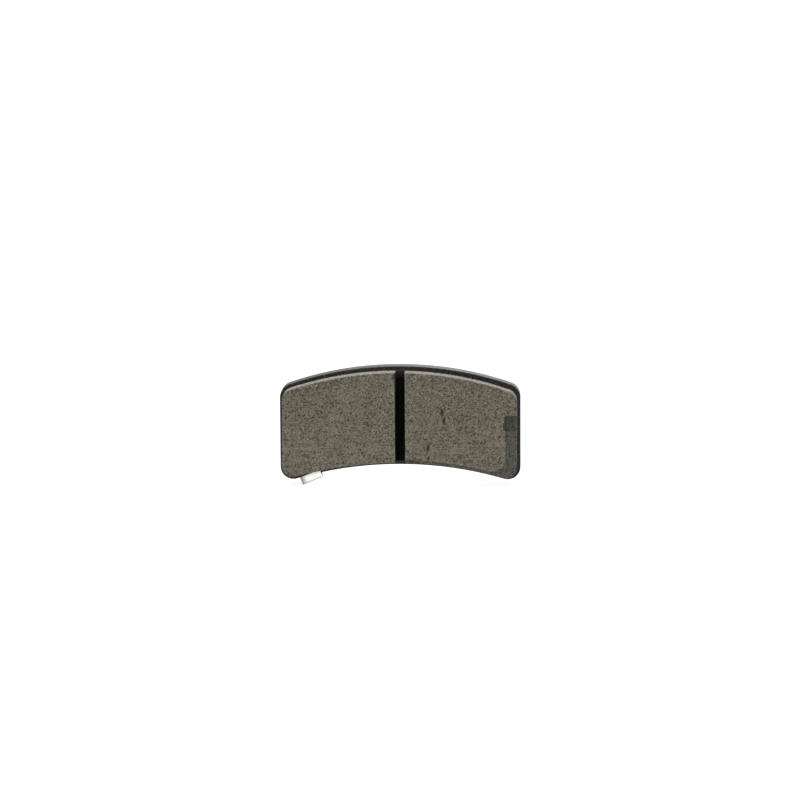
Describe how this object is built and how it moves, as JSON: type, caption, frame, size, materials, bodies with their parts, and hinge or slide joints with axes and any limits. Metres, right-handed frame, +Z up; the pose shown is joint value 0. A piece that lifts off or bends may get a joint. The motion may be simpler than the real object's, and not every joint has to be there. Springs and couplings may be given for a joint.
{
  "type": "disc brake pad",
  "caption": "Arched sector brake pad: slotted friction lands on a steel backing plate, with a bonded shim behind and a riveted wear indicator leaf below.",
  "frame": {"origin": "middle of the shim's outer face, where the piston or caliper finger presses", "axes": "+Z up towards the rotor's outer rim, as the pad stands in the caliper; +X along the pad's length, to the right seen from the rotor; +Y out of the shim, towards the piston, so the friction faces look along -Y"},
  "size_m": [0.092, 0.0147, 0.0457],
  "materials": {
    "plate_paint": "satin",
    "bond_glue": "matte",
    "underlayer": "matte",
    "friction": "matte",
    "shim_glue": "matte",
    "shim_rubber": "matte",
    "shim_steel": "satin",
    "leaf_steel": "satin",
    "rivet_steel": "satin"
  },
  "bodies": {
    "root": {"backing_plate": "plate_paint", "bond_adhesive": "bond_glue", "underlayer": "underlayer", "friction_land_left": "friction", "friction_land_right": "friction", "shim_adhesive": "shim_glue", "shim_inner_rubber": "shim_rubber", "shim_steel_core": "shim_steel", "shim_outer_rubber": "shim_rubber", "wear_indicator": "leaf_steel", "indicator_rivet": "rivet_steel"}
  },
  "joints": []
}
